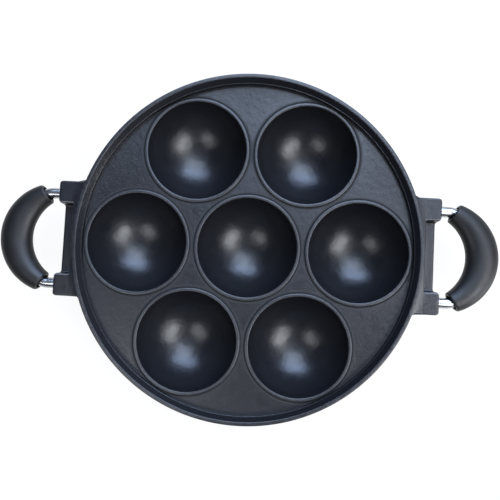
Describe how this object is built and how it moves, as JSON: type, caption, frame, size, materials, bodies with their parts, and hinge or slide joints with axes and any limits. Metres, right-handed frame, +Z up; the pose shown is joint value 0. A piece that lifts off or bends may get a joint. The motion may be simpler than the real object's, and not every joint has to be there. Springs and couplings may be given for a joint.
{
  "type": "multi-section egg pan",
  "caption": "Cast pan with round wells in a shallow lipped tray and a fixed loop handle with a moulded grip on each side, for cooking eggs or batter in separate portions.",
  "frame": {"origin": "on the hob surface that the pan's feet stand on, under the middle of the centre well", "axes": "+X towards the right-hand handle, +Y away from the cook, +Z up out of the wells"},
  "size_m": [0.344, 0.2404, 0.0413],
  "materials": {
    "coated_casting": "die-cast aluminium under a black satin non-stick coating",
    "polished_rod": "polished stainless steel rod",
    "moulded_grip": "black heat-proof moulding, satin",
    "steel_pin": "plain steel dowel"
  },
  "bodies": {
    "root": {"pan_body": "coated_casting", "right_handle_rod": "polished_rod", "right_handle_grip": "moulded_grip", "left_handle_rod": "polished_rod", "left_handle_grip": "moulded_grip", "right_rear_rod_pin": "steel_pin", "right_front_rod_pin": "steel_pin", "left_rear_rod_pin": "steel_pin", "left_front_rod_pin": "steel_pin"}
  },
  "joints": []
}
